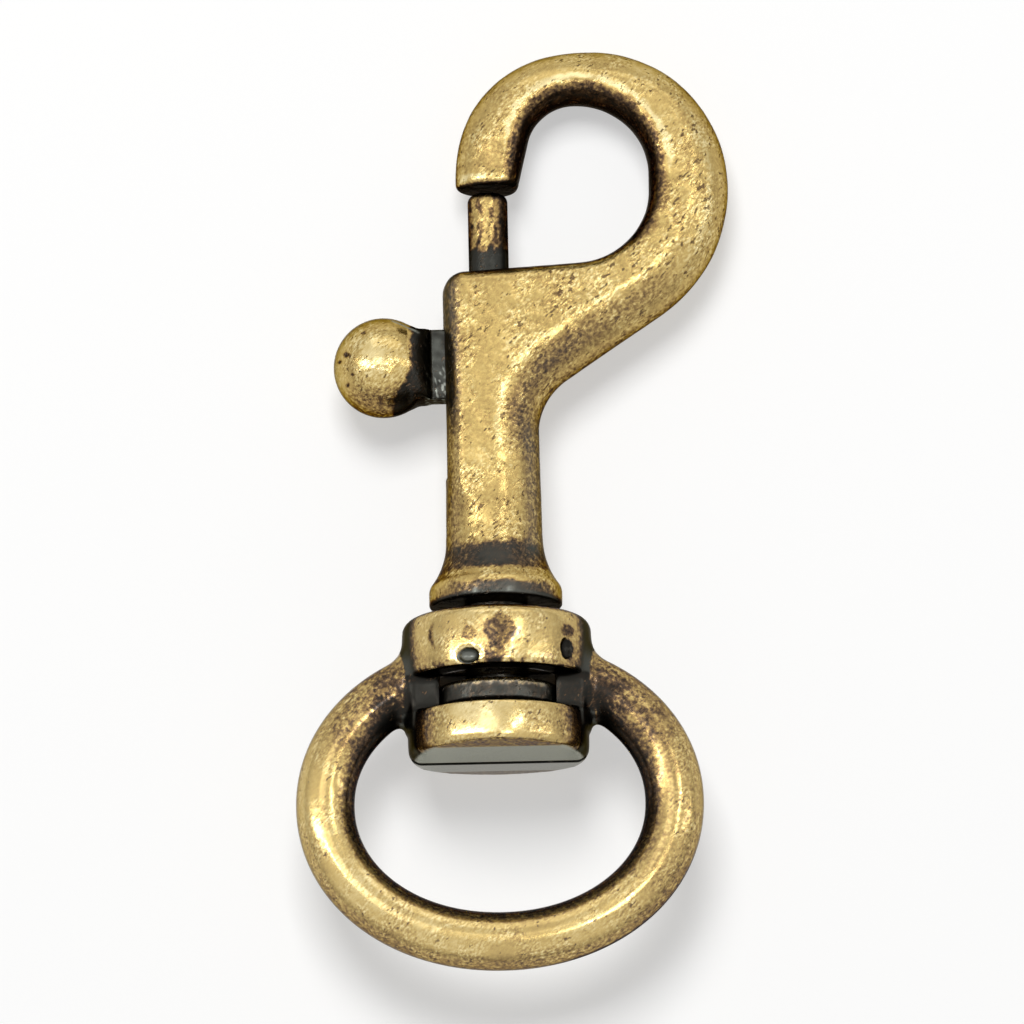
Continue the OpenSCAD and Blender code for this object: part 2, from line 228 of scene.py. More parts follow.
castFinish = dict(
    # rubbed, the lightest stop, is also where painted highlights land; the darker stops also take painted
    # shade
    rubbed="#efdca4", gold="#c7ac6b", bronze="#967a4c", brown="#5d4936", dark="#362c24", black="#262522",
    grey="#999c93",  # bare zinc, also the colour of painted glints and painted reflections
    edge="#948c80", satin="#b5b5ab",  # tint at a grazing view, of the plating and of bare zinc
    cloud=3.2,  # mm, broad patches of more and less rubbed plating
    cluster=2.0,  # mm, where the tumbling left its marks
    wear=0.3,  # mm, ragged edge of the blackening
    grain=0.16,  # mm, fine speckle
    speck=0.32,  # mm between dark pits
    dent=0.3,  # mm, shallow marks that catch the light, drawn a little coarse so that they show
    slant=-45, stretch=2.2,  # degrees and share, the way in which speckle, pits and dents run
    reach=1.2, hollowSoil=0.7,  # mm, how far a hollow keeps its blackening, and how much
    clusterFrom=0.4, clusterBy=0.62, unmarked=0.15,  # noise levels of a cluster, share of marks outside
    startTone=0.04, clouding=0.3, soilTone=0.8, raggedness=6.0, speckle=1.05,  # what darkens the tone
    pitSpread=0.07, pitEdge=0.04, pitTone=0.8, pitSink=0.5,  # dark pits and their depth against the dents'
    dentStrength=0.8, lacquerRoughness=0.06,
)


# rubRoughness and soilRoughness are for bare and for blackened plating, dentDepth is in mm, pitFrom is the
# noise level above which a pit shows, lacquer is the share of clear coat, which is off where it is black

def antiqueBrass(name, look, rubRoughness=0.24, soilRoughness=0.34, dentDepth=0.09, pitFrom=0.68,
                 lacquer=0):
    material = bpy.data.materials.new(name)
    tree = emptyTree(material)
    place = addNode(tree, "ShaderNodeTexCoord").outputs["Object"]
    slant = addNode(tree, "ShaderNodeMapping",
                    {"Vector": place, "Rotation": (0.0, 0.0, math.radians(look["slant"])),
                     "Scale": (1.0, look["stretch"], 1.0)}, vector_type="TEXTURE").outputs[0]
    # the soil attribute holds blackening together with painted shade, and negative values that paint
    # highlights
    soilAndPaintedLight = addNode(tree, "ShaderNodeAttribute", attribute_name="soilAndPaintedLight").outputs["Fac"]
    grey = addNode(tree, "ShaderNodeAttribute", attribute_name="grey").outputs["Fac"]
    noises = {}
    for key, vector, detail in (("cloud", place, 3.0), ("cluster", place, 2.0), ("wear", place, 5.0),
                                ("grain", slant, 2.0), ("speck", slant, 2.0), ("dent", slant, 3.0)):
        noises[key] = addNode(tree, "ShaderNodeTexNoise",
                              {"Vector": vector, "Scale": 1 / (look[key] * mm), "Detail": detail,
                               "Roughness": 0.6}).outputs["Fac"]
    marked = addNode(tree, "ShaderNodeMapRange",
                     {"Value": noises["cluster"], "From Min": look["clusterFrom"],
                      "From Max": look["clusterBy"], "To Min": look["unmarked"], "To Max": 1.0}).outputs[0]

    shelter = addNode(tree, "ShaderNodeAmbientOcclusion", {"Distance": look["reach"] * mm},
                      only_local=True, samples=4).outputs["AO"]
    cavity = addNode(tree, "ShaderNodeMapRange",
                     {"Value": shelter, "From Min": 0.85, "From Max": 0.3,
                      "To Min": 0.0, "To Max": look["hollowSoil"]}).outputs[0]
    # blackening from the attribute and the cavity, with the painted shade and painted highlights that the
    # attribute carries
    hollow = addNode(tree, "ShaderNodeMath", {0: soilAndPaintedLight, 1: cavity}, operation="ADD").outputs[0]
    depth = addNode(tree, "ShaderNodeClamp", {"Value": hollow}).outputs[0]
    left = addNode(tree, "ShaderNodeMath", {0: 1.0, 1: depth}, operation="SUBTRACT").outputs[0]
    half = addNode(tree, "ShaderNodeMath", {0: depth, 1: left}, operation="MULTIPLY").outputs[0]
    ragged = addNode(tree, "ShaderNodeMath",
                     {0: noises["wear"], 1: look["raggedness"], 2: -look["raggedness"] / 2},
                     operation="MULTIPLY_ADD").outputs[0]
    cloudy = addNode(tree, "ShaderNodeMath",
                     {0: noises["cloud"], 1: look["clouding"], 2: look["startTone"]},
                     operation="MULTIPLY_ADD").outputs[0]
    darkened = addNode(tree, "ShaderNodeMath", {0: hollow, 1: look["soilTone"], 2: cloudy},
                       operation="MULTIPLY_ADD").outputs[0]
    broken = addNode(tree, "ShaderNodeMath", {0: half, 1: ragged, 2: darkened},
                     operation="MULTIPLY_ADD").outputs[0]
    fleck = addNode(tree, "ShaderNodeMath", {0: noises["grain"], 1: 0.5}, operation="SUBTRACT").outputs[0]
    flecked = addNode(tree, "ShaderNodeMath", {0: fleck, 1: marked}, operation="MULTIPLY").outputs[0]
    level = addNode(tree, "ShaderNodeMath", {0: flecked, 1: look["speckle"], 2: broken},
                    operation="MULTIPLY_ADD").outputs[0]
    ramp = addNode(tree, "ShaderNodeValToRGB", {"Fac": level})
    stops = ((0.0, "rubbed"), (0.2, "gold"), (0.4, "bronze"),
             (0.6, "brown"), (0.82, "dark"), (1.0, "black"))
    for count, (position, colour) in enumerate(stops):
        stop = ramp.color_ramp.elements[count] if count < 2 else ramp.color_ramp.elements.new(position)
        stop.position = position
        stop.color = linear(look[colour])

    speck = addNode(tree, "ShaderNodeMath", {0: marked, 1: look["pitSpread"], 2: noises["speck"]},
                    operation="MULTIPLY_ADD").outputs[0]
    pit = addNode(tree, "ShaderNodeMapRange",
                  {"Value": speck, "From Min": pitFrom, "From Max": pitFrom + look["pitEdge"],
                   "To Max": look["pitTone"]}).outputs[0]
    pitted = addNode(tree, "ShaderNodeMix", {0: pit, 6: ramp.outputs["Color"], 7: linear(look["brown"])},
                     data_type="RGBA").outputs[2]
    toned = addNode(tree, "ShaderNodeMix", {0: grey, 6: pitted, 7: linear(look["grey"])},
                    data_type="RGBA").outputs[2]
    rim = addNode(tree, "ShaderNodeMix", {0: grey, 6: linear(look["edge"]), 7: linear(look["satin"])},
                  data_type="RGBA").outputs[2]
    roughness = addNode(tree, "ShaderNodeMapRange",
                        {"Value": level, "From Min": 0.1, "From Max": 0.8,
                         "To Min": rubRoughness, "To Max": soilRoughness}).outputs[0]
    dented = addNode(tree, "ShaderNodeMath", {0: noises["dent"], 1: marked},
                     operation="MULTIPLY").outputs[0]
    relief = addNode(tree, "ShaderNodeMath", {0: pit, 1: -look["pitSink"], 2: dented},
                     operation="MULTIPLY_ADD").outputs[0]
    tilt = addNode(tree, "ShaderNodeBump",
                   {"Height": relief, "Strength": look["dentStrength"],
                    "Distance": dentDepth * mm}).outputs["Normal"]
    surface = {"Base Color": toned, "Metallic": 1.0, "Roughness": roughness, "Normal": tilt,
               "Specular Tint": rim}
    if lacquer:
        surface["Coat Weight"] = addNode(tree, "ShaderNodeMath", {0: left, 1: lacquer},
                                         operation="MULTIPLY").outputs[0]
        surface["Coat Roughness"] = look["lacquerRoughness"]
    shader = addNode(tree, "ShaderNodeBsdfPrincipled", surface)
    addNode(tree, "ShaderNodeOutputMaterial", {"Surface": shader.outputs["BSDF"]})
    return material


# hook: two rails in outline, paired point by point, with an upright section between each pair

hook = dict(
    footY=13.85, footR=4.6, footRim=1.0, footEdge=0.25, footTop=0.9, footHollow=3.8, footPole=0.2,
    shankR=3.25, shankLowR=3.36, loftY=19.0, loftR=3.33, bodyTopY=37.6, shoulderR=1.6, slope=3.5,
    reach=11.15, lowR=5.3, highR=5.0, leadR=3.3, leadEnd=167, openingTopY=49.35,
    crotchY=26.1, crotchR=4.5, hornAngle=34, hornR=10.8, outerX=16.65, topY=53.0,
    crownPower=2.0, tipPower=2.25, tipY=43.35, tipHalfW=2.2, tipEdge=0.45, tipInsets=(0.8, 1.4, 2.0),
    bodyHalf=3.15, limbHalf=2.65, tipHalf=2.4,  # half thicknesses
    innerRound=1.3, outerRound=2.9, limbRound=1.8, edgeEase=0.3, ridge=0.85,
    boreR=1.45, boreColumns=64, slotLowY=22.83, slotH=10.74, slotHalfT=1.22,
    innerSteps=(8, 8, 5, 8, 12, 12, 10, 3),  # stations on each stretch of a rail, the same sum on both
    outerSteps=(8, 13, 12, 8, 12, 13),
    wallAt=-4.2, bodyAt=8, limbAt=33, tipAt=58,  # stations from the crotch on
    limbMid=39, limbSpread=6, ridgeEnd=(44, 52),
    fine=6, across=56,  # rings a station, points across a face
    waver=0.03, waverMost=0.1,  # mm of cast unevenness
    glints=(-1.4, 1.0), glintY=14.2, glintR=0.13,  # painted glints: bright spots on the foot's rim
    # blackening and painted shade; the negative amounts lighten, as painted highlights and, at the tip,
    # rubbing
    soilAndPaintedLight=dict(everywhere=0.055, tipTone=0.06, openWall=0.12, openEdge=0.2, saddleWall=0.7, leftStrip=0.2,
              rightStrip=0.26, outerSideShade=0.18, hornSlopeShade=0.1, hornRimShade=0.15, footHollow=0.25, footFront=0.85,
              footUnder=0.9, tipFaceShade=0.9, mouthEdgeHighlight=-0.34, crownHighlight=-0.02, hornRidgeHighlight=-0.16, limbRidgeHighlight=-0.15,
              tipRub=-0.1),
    # grey: bare zinc, and painted glints and greyer painted reflections
    grey=dict(footHollow=0.025, footUnder=0.054, footFront=0.153, leftStrip=0.09, rightStrip=0.182,
              hornSlopeShade=0.02, hornRimShade=0.03, glints=0.8),
)


def hookRails(s):  # inner rail: left wall, shoulder, saddle, opening; outer rail: crotch, horn, crown, tip
    steps = [count * s["fine"] for count in s["innerSteps"]]
    slope = math.radians(s["slope"])
    saddleUnit = np.array([-math.sin(slope), math.cos(slope)])
    lowX = s["reach"] - s["lowR"]
    low = np.array([lowX, s["bodyTopY"] + lowX * math.tan(slope) + s["lowR"] / math.cos(slope)])
    high = np.array([s["reach"] - s["highR"], s["openingTopY"] - s["highR"]])
    lead = np.array([high[0], s["openingTopY"] - s["leadR"]])
    cornerX = s["shoulderR"] - s["shankR"]
    cornerY = s["bodyTopY"] + cornerX * math.tan(slope) - s["shoulderR"] / math.cos(slope)
    corner = np.array([cornerX, cornerY])
    leadEnd = math.radians(s["leadEnd"])
    leadUnit = np.array([math.cos(leadEnd), math.sin(leadEnd)])
    tipStop = s["tipY"] + s["tipEdge"]
    inner = joined(
        linePoints([-s["loftR"], s["loftY"]], [-s["shankR"], s["crotchY"]], steps[0]),
        linePoints([-s["shankR"], s["crotchY"]], [-s["shankR"], cornerY], steps[1]),
        arcPoints(corner, [s["shoulderR"]] * 2, 180, 90 + s["slope"], steps[2]),
        linePoints(corner + s["shoulderR"] * saddleUnit, low - s["lowR"] * saddleUnit, steps[3]),
        arcPoints(low, [s["lowR"]] * 2, s["slope"] - 90, 0, steps[4]),
        arcPoints(high, [s["highR"]] * 2, 0, 90, steps[5]),
        arcPoints(lead, [s["leadR"]] * 2, 90, s["leadEnd"], steps[6]),
        linePoints(lead + s["leadR"] * leadUnit, [s["tipHalfW"], tipStop], steps[7]))
    steps = [count * s["fine"] for count in s["outerSteps"]]
    horn = math.radians(s["hornAngle"])
    along = np.array([math.cos(horn), math.sin(horn)])
    normal = np.array([-math.sin(horn), math.cos(horn)])
    crotch = np.array([s["shankR"] + s["crotchR"], s["crotchY"]])
    hornStart = crotch + s["crotchR"] * normal
    run = (s["outerX"] - s["hornR"] - hornStart[0] - s["hornR"] * normal[0]) / along[0]
    bend = hornStart + run * along + s["hornR"] * normal
    topX = (s["outerX"] - s["tipHalfW"]) / 2
    crownRadii = [s["outerX"] - topX, s["topY"] - bend[1]]
    tipRadii = [topX + s["tipHalfW"], s["topY"] - tipStop]
    outer = joined(
        linePoints([s["loftR"], s["loftY"]], [s["shankR"], s["crotchY"]], steps[0]),
        arcPoints(crotch, [s["crotchR"]] * 2, 180, 90 + s["hornAngle"], steps[1]),
        linePoints(hornStart, hornStart + run * along, steps[2]),
        arcPoints(bend, [s["hornR"]] * 2, s["hornAngle"] - 90, 0, steps[3]),
        arcPoints([topX, bend[1]], crownRadii, 0, 90, steps[4], s["crownPower"]),
        arcPoints([topX, tipStop], tipRadii, 90, 180, steps[5], s["tipPower"]))
    return inner, outer


def hookLoft(s, inner, outer, across):  # half thickness over each pair, falling in a round to either rail
    width = np.linalg.norm(outer - inner, axis=1)[:, None]
    flat = inner[:, None] + (outer - inner)[:, None] * across[None, :, None]
    station = np.arange(len(inner))[:, None] / s["fine"] - s["innerSteps"][0]
    toWall = eased(station, -s["innerSteps"][0], s["wallAt"])
    toBody = eased(station, 0, s["bodyAt"])
    toLimb = eased(station, s["bodyAt"], s["limbAt"])
    toTip = eased(station, s["limbAt"], s["tipAt"])
    half = width / 2 * (1 - toWall) + s["shankR"] * toWall
    half = half + (s["bodyHalf"] - s["shankR"]) * toBody + (s["limbHalf"] - s["bodyHalf"]) * toLimb
    half = half + (s["tipHalf"] - s["limbHalf"]) * toTip
    fromInner = distanceTo(flat.reshape(-1, 2), inner).reshape(flat.shape[:2])
    fromOuter = distanceTo(flat.reshape(-1, 2), outer).reshape(flat.shape[:2])
    fromInner = width * across + (fromInner - width * across) * toBody
    fromOuter = width * (1 - across) + (fromOuter - width * (1 - across)) * toBody
    innerRound = width / 2 + (np.minimum(s["innerRound"], width / 2) - width / 2) * toWall
    onLimb = bump(station, s["limbMid"], s["limbSpread"])
    outerReach = s["outerRound"] + (s["limbRound"] - s["outerRound"]) * onLimb
    outerRound = width / 2 + (np.minimum(outerReach, width - innerRound) - width / 2) * toBody
    innerFall = np.clip(1 - fromInner / innerRound, 0, 1)
    outerFall = np.clip(1 - fromOuter / outerRound, 0, 1)
    ease = 2 + s["edgeEase"] * toBody  # 2 is an ellipse, more runs into the flat more slowly
    crease = ease - s["ridge"] * toBody * (1 - eased(station, *s["ridgeEnd"]))  # less leaves a ridge
    height = half * np.clip(1 - innerFall ** ease - outerFall ** crease, 0, 1) ** 0.5
    upper = np.concatenate([flat, height[..., None]], axis=2)
    lower = upper[:, -2:0:-1] * [1, 1, -1]
    return np.concatenate([upper, lower], axis=1)


def hookFoot(s, across):  # rings turned from a profile: underside, rounded rim, hollow up to the shank
    rimTop = np.array([s["footR"] - s["footTop"], s["footY"] + s["footRim"]])
    draw = s["footR"] - s["shankLowR"]
    arcs = (s["footHollow"] ** 2 + draw ** 2) / (2 * draw)  # radii of rim top and hollow, added
    turn = math.acos(1 - draw / arcs)
    hollow = rimTop + arcs * np.array([math.cos(turn), math.sin(turn)])
    edgeX, edgeY = s["footR"] - s["footEdge"], s["footY"] + s["footEdge"]
    profile = joined(
        linePoints([s["footPole"], s["footY"]], [edgeX, s["footY"]], 8),
        arcPoints([edgeX, edgeY], [s["footEdge"]] * 2, -90, 0, 6),
        linePoints([s["footR"], edgeY], [s["footR"], rimTop[1]], 4),
        arcPoints(rimTop, [s["footTop"]] * 2, 0, math.degrees(turn), 10),
        arcPoints(hollow, [arcs - s["footTop"]] * 2, 180 + math.degrees(turn), 180, 20),
        linePoints([s["shankLowR"], hollow[1]], [s["loftR"], s["loftY"]], 2))[:-1]
    radius, height = profile[:, :1], profile[:, 1:]
    cosine = 2 * across - 1
    sine = np.sqrt(1 - cosine ** 2)
    cosine, sine = np.append(cosine, cosine[-2:0:-1]), np.append(sine, -sine[-2:0:-1])
    return np.stack([radius * cosine, height + 0 * cosine, radius * sine], axis=2)


def hookTip(s, end):  # the last ring drawn in along the tip's rounded edge, then over its flat face
    turns = np.radians(np.linspace(15, 90, 6))
    inset = np.append(s["tipEdge"] * (1 - np.cos(turns)), s["tipInsets"])[:, None]
    fall = np.append(s["tipEdge"] * np.sin(turns), [s["tipEdge"]] * len(s["tipInsets"]))[:, None]
    return np.stack([end[:, 0] * (1 - inset / s["tipHalfW"]), end[:, 1] - fall,
                     end[:, 2] * (1 - inset / s["tipHalf"])], axis=2)


def hookSkin(s, inner, outer):  # rings of foot, loft and tip, dipped along their normals by the unevenness
    across = (1 - np.cos(np.pi * np.linspace(0, 1, s["across"]))) / 2  # share of the width
    loft = hookLoft(s, inner, outer, across)
    rings = np.concatenate([hookFoot(s, across), loft, hookTip(s, loft[-1])])
    alongRows = np.gradient(rings, axis=0)
    alongColumns = np.roll(rings, -1, axis=1) - np.roll(rings, 1, axis=1)
    normal = np.cross(alongColumns, alongRows)
    normal /= np.maximum(np.linalg.norm(normal, axis=2, keepdims=True), 1e-9)
    dip = s["waver"] * (0.6 + 0.4 * ripple(rings, 4.5, 3) + 0.25 * ripple(rings, 1.4, 4))
    centre = rings.mean(axis=1, keepdims=True)
    outward = np.sign(((rings - centre) * normal).sum(axis=2).mean())
    return rings - outward * normal * np.clip(dip, 0, s["waverMost"])[..., None]


def hookPlaces(s, p, n, inner, outer):  # where it is blackened or rubbed, and where shade and highlights are painted, by place and facing
    x, y, z = p.T
    flatness = np.abs(n[:, 2])
    fromInner, fromOuter = distanceTo(p[:, :2], inner), distanceTo(p[:, :2], outer)
    innerSide = fromInner < fromOuter
    outerSide = 1 - innerSide
    mouth = innerSide * eased(x, 0.8, 1.6) * eased(y, 38.2, 39.5)
    mouthEdge = fromInner + 0.2 * ripple(p, 1.3, 25)
    # line of the painted highlight along the mouth's edge
    mouthHighlightLine = fromInner + 0.15 * ripple(p, 1.1, 17)
    shank = eased(y, 16, 18)
    horn = outerSide * eased(y, 23, 26.5) * (1 - eased(y, 35, 40))
    # where shade is painted on the horn's lower side, less towards the limb
    hornShadeZone = horn * (1 - 0.6 * eased(x, 6, 12))
    limb = outerSide * (x > 10) * eased(y, 35, 39) * (1 - eased(y, 46, 50))
    higher = 1 + 1.5 * eased(y, 25, 29)
    hollowTop = y + 0.25 * ripple(p, 1.2, 14)
    hollowMid = 1 + 2.6 * bump(x, -0.2, 2.7)
    frontTop = y + 0.2 * ripple(p, 1.5, 15)
    tip = (x < 3) * (y > 43)
    tipChips = 1 + 3 * eased(ripple(p, 0.7, 19), -0.2, 0.3)
    glints = sum(bump(np.hypot(x - spot, y - s["glintY"]), 0, s["glintR"]) for spot in s["glints"])
    return dict(
        everywhere=np.ones(len(p)),
        tipTone=(x < 4) * eased(y, 42.5, 43.5) * (1 - eased(y, 46, 49)),
        openWall=mouth * (1 - eased(flatness, 0.3, 0.8)) * (3 + ripple(p, 1.6, 21)),
        openEdge=mouth * (1 - eased(mouthEdge, 0.75, 1.65)) * (1.7 + 0.7 * eased(y, 41, 44)),
        # painted highlight along the mouth's inner edge
        mouthEdgeHighlight=mouth * bump(mouthHighlightLine, 1.45, 0.25) * eased(y, 43, 46),
        saddleWall=innerSide * (1 - eased(flatness, 0.3, 0.7)) * eased(n[:, 1], 0.3, 0.7) * (y < 40),
        # blackening and painted shade on the body's left wall
        leftStrip=(1 - eased(x + s["shankR"], 0.3, 1.5)) * shank * (y < 37.8) * higher,
        rightStrip=(1 - eased(s["shankR"] - x, 0.5, 1.6)) * shank * (1 - eased(y, 25, 28)),
        # painted shade on the outward facing side walls
        outerSideShade=outerSide * (1 - eased(flatness, 0.0, 0.6)) * (y > 26),
        # painted shade on the horn's slope below the ridge
        hornSlopeShade=hornShadeZone * bump(fromOuter, 1.35, 0.85) * (2.8 + ripple(p, 3.5, 18)),
        # painted shade and a greyer painted reflection at the horn's rounded outer rim
        hornRimShade=hornShadeZone * (1 - eased(fromOuter, 0.0, 0.5)),
        # painted highlight along the horn's ridge, where the ridge is also rubbed
        hornRidgeHighlight=horn * bump(fromOuter + 0.1 * ripple(p, 1.3, 12), 2.85, 0.3),
        # painted highlight along the limb's ridge
        limbRidgeHighlight=limb * bump(fromOuter, 1.25, 0.25),
        # painted highlight over the hook's top end
        crownHighlight=eased(y, 49.6, 51),
        footHollow=eased(y, 15.8, 16.2) * (1 - eased(hollowTop, 17.4, 18.3)) * hollowMid,
        footFront=(1 - eased(frontTop, 14.7, 15.0)) * eased(np.abs(z), 1.0, 2.6) * bump(x, 0.9, 3.4),
        # blackening and painted shade under the foot, in the gap towards the collar
        footUnder=1 - eased(y, 13.95, 14.25),
        # painted shade on the tip's end face
        tipFaceShade=tip * eased(-n[:, 1], 0.4, 0.85),
        tipRub=tip * (flatness > 0.4) * bump(y, 43.9, 0.25) * tipChips,
        # painted glints on the foot's rim
        glints=glints * (z > 0),
    )


innerRail, outerRail = hookRails(hook)
hookBody = ringSkin("hookBody", hookSkin(hook, innerRail, outerRail))
cutAway(hookBody,
        roundBar("bore", hook["boreR"], hook["footY"] - past, hook["bodyTopY"] + 3 * past,
                 hook["boreColumns"]),
        block("slot", [-hook["shankR"] - past, hook["slotLowY"], -hook["slotHalfT"]],
              [0, hook["slotLowY"] + hook["slotH"], hook["slotHalfT"]]))
hookWearAndLight = hookPlaces(hook, *vertexArrays(hookBody), innerRail, outerRail)
paint(hookBody, "soilAndPaintedLight", weighed(hook["soilAndPaintedLight"], hookWearAndLight))
paint(hookBody, "grey", weighed(hook["grey"], hookWearAndLight))
handOver(hookBody, antiqueBrass("antique brass plate on zinc casting, hook", castFinish),
         "hook", "hook_body")


# strap eye: ring and barrel run together in one casting, so its skin is the zero level of a distance field

eye = dict(
    halfW=12.025, halfH=9.625, power=2.06, wireR=2.022,
    bandY=2.9, bandTopY=6.2, bandR=6.25, bandRound=0.9, draft=4.5, crown=0.12,
    collarY=8.65, collarTopY=12.9, collarR=6.548, collarRound=0.8, edgeRound=0.25,
    windowR=4.5, windowRound=0.2, postHalf=2.2, postReach=1, boreR=2.28, rootFillet=1.1, postFillet=0.5,
    pits=[(-2.0, 9.22, 0.8, 0.58, 0.35),  # x, y, half width, half height, depth
          (4.82, 9.95, 0.48, 0.78, 0.3)],
    seamHalf=0.35, seamDepth=0.36, seamPast=0.2,  # parting seam across the underside
    pathSteps=240, step=0.16,  # steps along the ring, mm between samples of the field
    sideRoom=2.6, endRoom=0.6,  # mm of field round the ring's line and round the collar
    barrelR=6.75, barrelY=2.6,  # what counts as barrel for the wear
    spots=[(0.25, 11.0, 1.05, 0.45), (-0.2, 9.25, 0.8, 0.42),  # stains: x, y, radius, how black
           (-1.9, 10.8, 0.45, 0.3), (4.9, 11.2, 0.4, 0.5)],
    finish=dict(rubRoughness=0.18, soilRoughness=0.3, dentDepth=0.022, pitFrom=0.7, lacquer=0.5),
    # blackening and painted shade; the negative amounts are painted highlights and rubbing
    soilAndPaintedLight=dict(ringWall=0.7, roots=1, sidePlate=1.1, window=1.3, groove=0.9, lens=0.3, seam=1, topFace=0.7,
              bandEnds=0.35, stain=1, crack=0.9, chips=0.6, inPit=1.2, collarSide=0.05, rightArmShade=0.11,
              lowerRimShade=0.25, flash=0.75, bandHighlight=-0.15, rootRubAndGlints=-0.6, pitRimHighlight=-0.4),
    # grey: bare zinc, and a painted reflection in the left pit
    grey=dict(window=0.01, cheeks=0.2, leftPitReflection=0.42), underGrey=0.95,
)


def blended(a, b, k):  # union of two fields with a fillet about k wide
    h = np.clip(0.5 + 0.5 * (b - a) / k, 0, 1)
    return b + (a - b) * h - k * h * (1 - h)


def roundedBox(u, v, halfU, halfV, r):  # distance to a rectangle with corners of radius r
    a, b = np.abs(u) - halfU + r, np.abs(v) - halfV + r
    return np.minimum(np.maximum(a, b), 0) + np.hypot(np.maximum(a, 0), np.maximum(b, 0)) - r


def eyeField(s, x, y, z):  # mm from the skin: ring, collar, band, posts blended, less window, bore, pits
    radius = np.hypot(x, z)
    rootX = (s["windowR"] + s["bandR"]) / 2
    root = math.degrees(math.acos((rootX / s["halfW"]) ** (s["power"] / 2)))
    path = arcPoints([0, 0], [s["halfW"], s["halfH"]], root, -180 - root, s["pathSteps"], s["power"])
    flatPoints = np.stack(np.broadcast_arrays(x[:, :, 0], y[:, :, 0]), axis=-1)
    toPath = distanceTo(flatPoints.reshape(-1, 2), path).reshape(flatPoints.shape[:2])[:, :, None]
    ring = np.hypot(toPath, z) - s["wireR"]
    collarMid, collarHalf = (s["collarY"] + s["collarTopY"]) / 2, (s["collarTopY"] - s["collarY"]) / 2
    collarOut = radius + s["crown"] * ((y - collarMid) / collarHalf) ** 2
    collarEdge = np.where(y > collarMid, s["collarRound"], s["edgeRound"])
    collar = roundedBox(collarOut, y - collarMid, s["collarR"], collarHalf, collarEdge)
    bandMid, bandHalf = (s["bandY"] + s["bandTopY"]) / 2, (s["bandTopY"] - s["bandY"]) / 2
    bandOut = radius + s["crown"] * ((y - bandMid) / bandHalf) ** 2
    bandEdge = np.where(y < bandMid, s["bandRound"], s["edgeRound"])
    band = roundedBox(bandOut, y - bandMid, s["bandR"], bandHalf, bandEdge)
    draft = math.radians(s["draft"])
    band = np.maximum(band, (s["bandY"] + np.abs(z) * math.tan(draft) - y) * math.cos(draft))
    windowMid, windowHalf = (s["bandTopY"] + s["collarY"]) / 2, (s["collarY"] - s["bandTopY"]) / 2
    posts = np.maximum(np.maximum(radius - s["bandR"], np.abs(z) - s["postHalf"]),
                       np.abs(y - windowMid) - windowHalf - s["postReach"])
    barrel = blended(np.minimum(collar, band), posts, s["postFillet"])
    whole = blended(barrel, ring, s["rootFillet"])
    window = np.maximum(radius - s["windowR"], np.abs(y - windowMid) - windowHalf)
    whole = -blended(-whole, window, s["windowRound"])
    bore = np.maximum(radius - s["boreR"], windowMid - y)
    whole = np.maximum(whole, -bore)
    for pitX, pitY, halfWide, halfHigh, depth in s["pits"]:
        pitZ = math.sqrt(s["collarR"] ** 2 - pitX ** 2)
        across = ((x - pitX) / halfWide) ** 2 + ((y - pitY) / halfHigh) ** 2
        away = np.sqrt(across + ((z - pitZ) / depth / 2) ** 2)
        whole = np.maximum(whole, (1 - away) * depth)
    return whole


def fieldSkin(name, field, low, high, step):  # zero level of a sampled field as a quad mesh
    axes = [np.arange(a, b, step) for a, b in zip(low, high)]
    values = field(axes[0][:, None, None], axes[1][None, :, None], axes[2][None, None, :])
    grid = openvdb.FloatGrid(1.0)
    grid.copyFromArray(values.astype(np.float32))
    points, triangles, quads = grid.convertToPolygons(isovalue=0.0, adaptivity=0.0)
    return meshObject(name, np.array(low) + points * step, quads.tolist() + triangles.tolist())


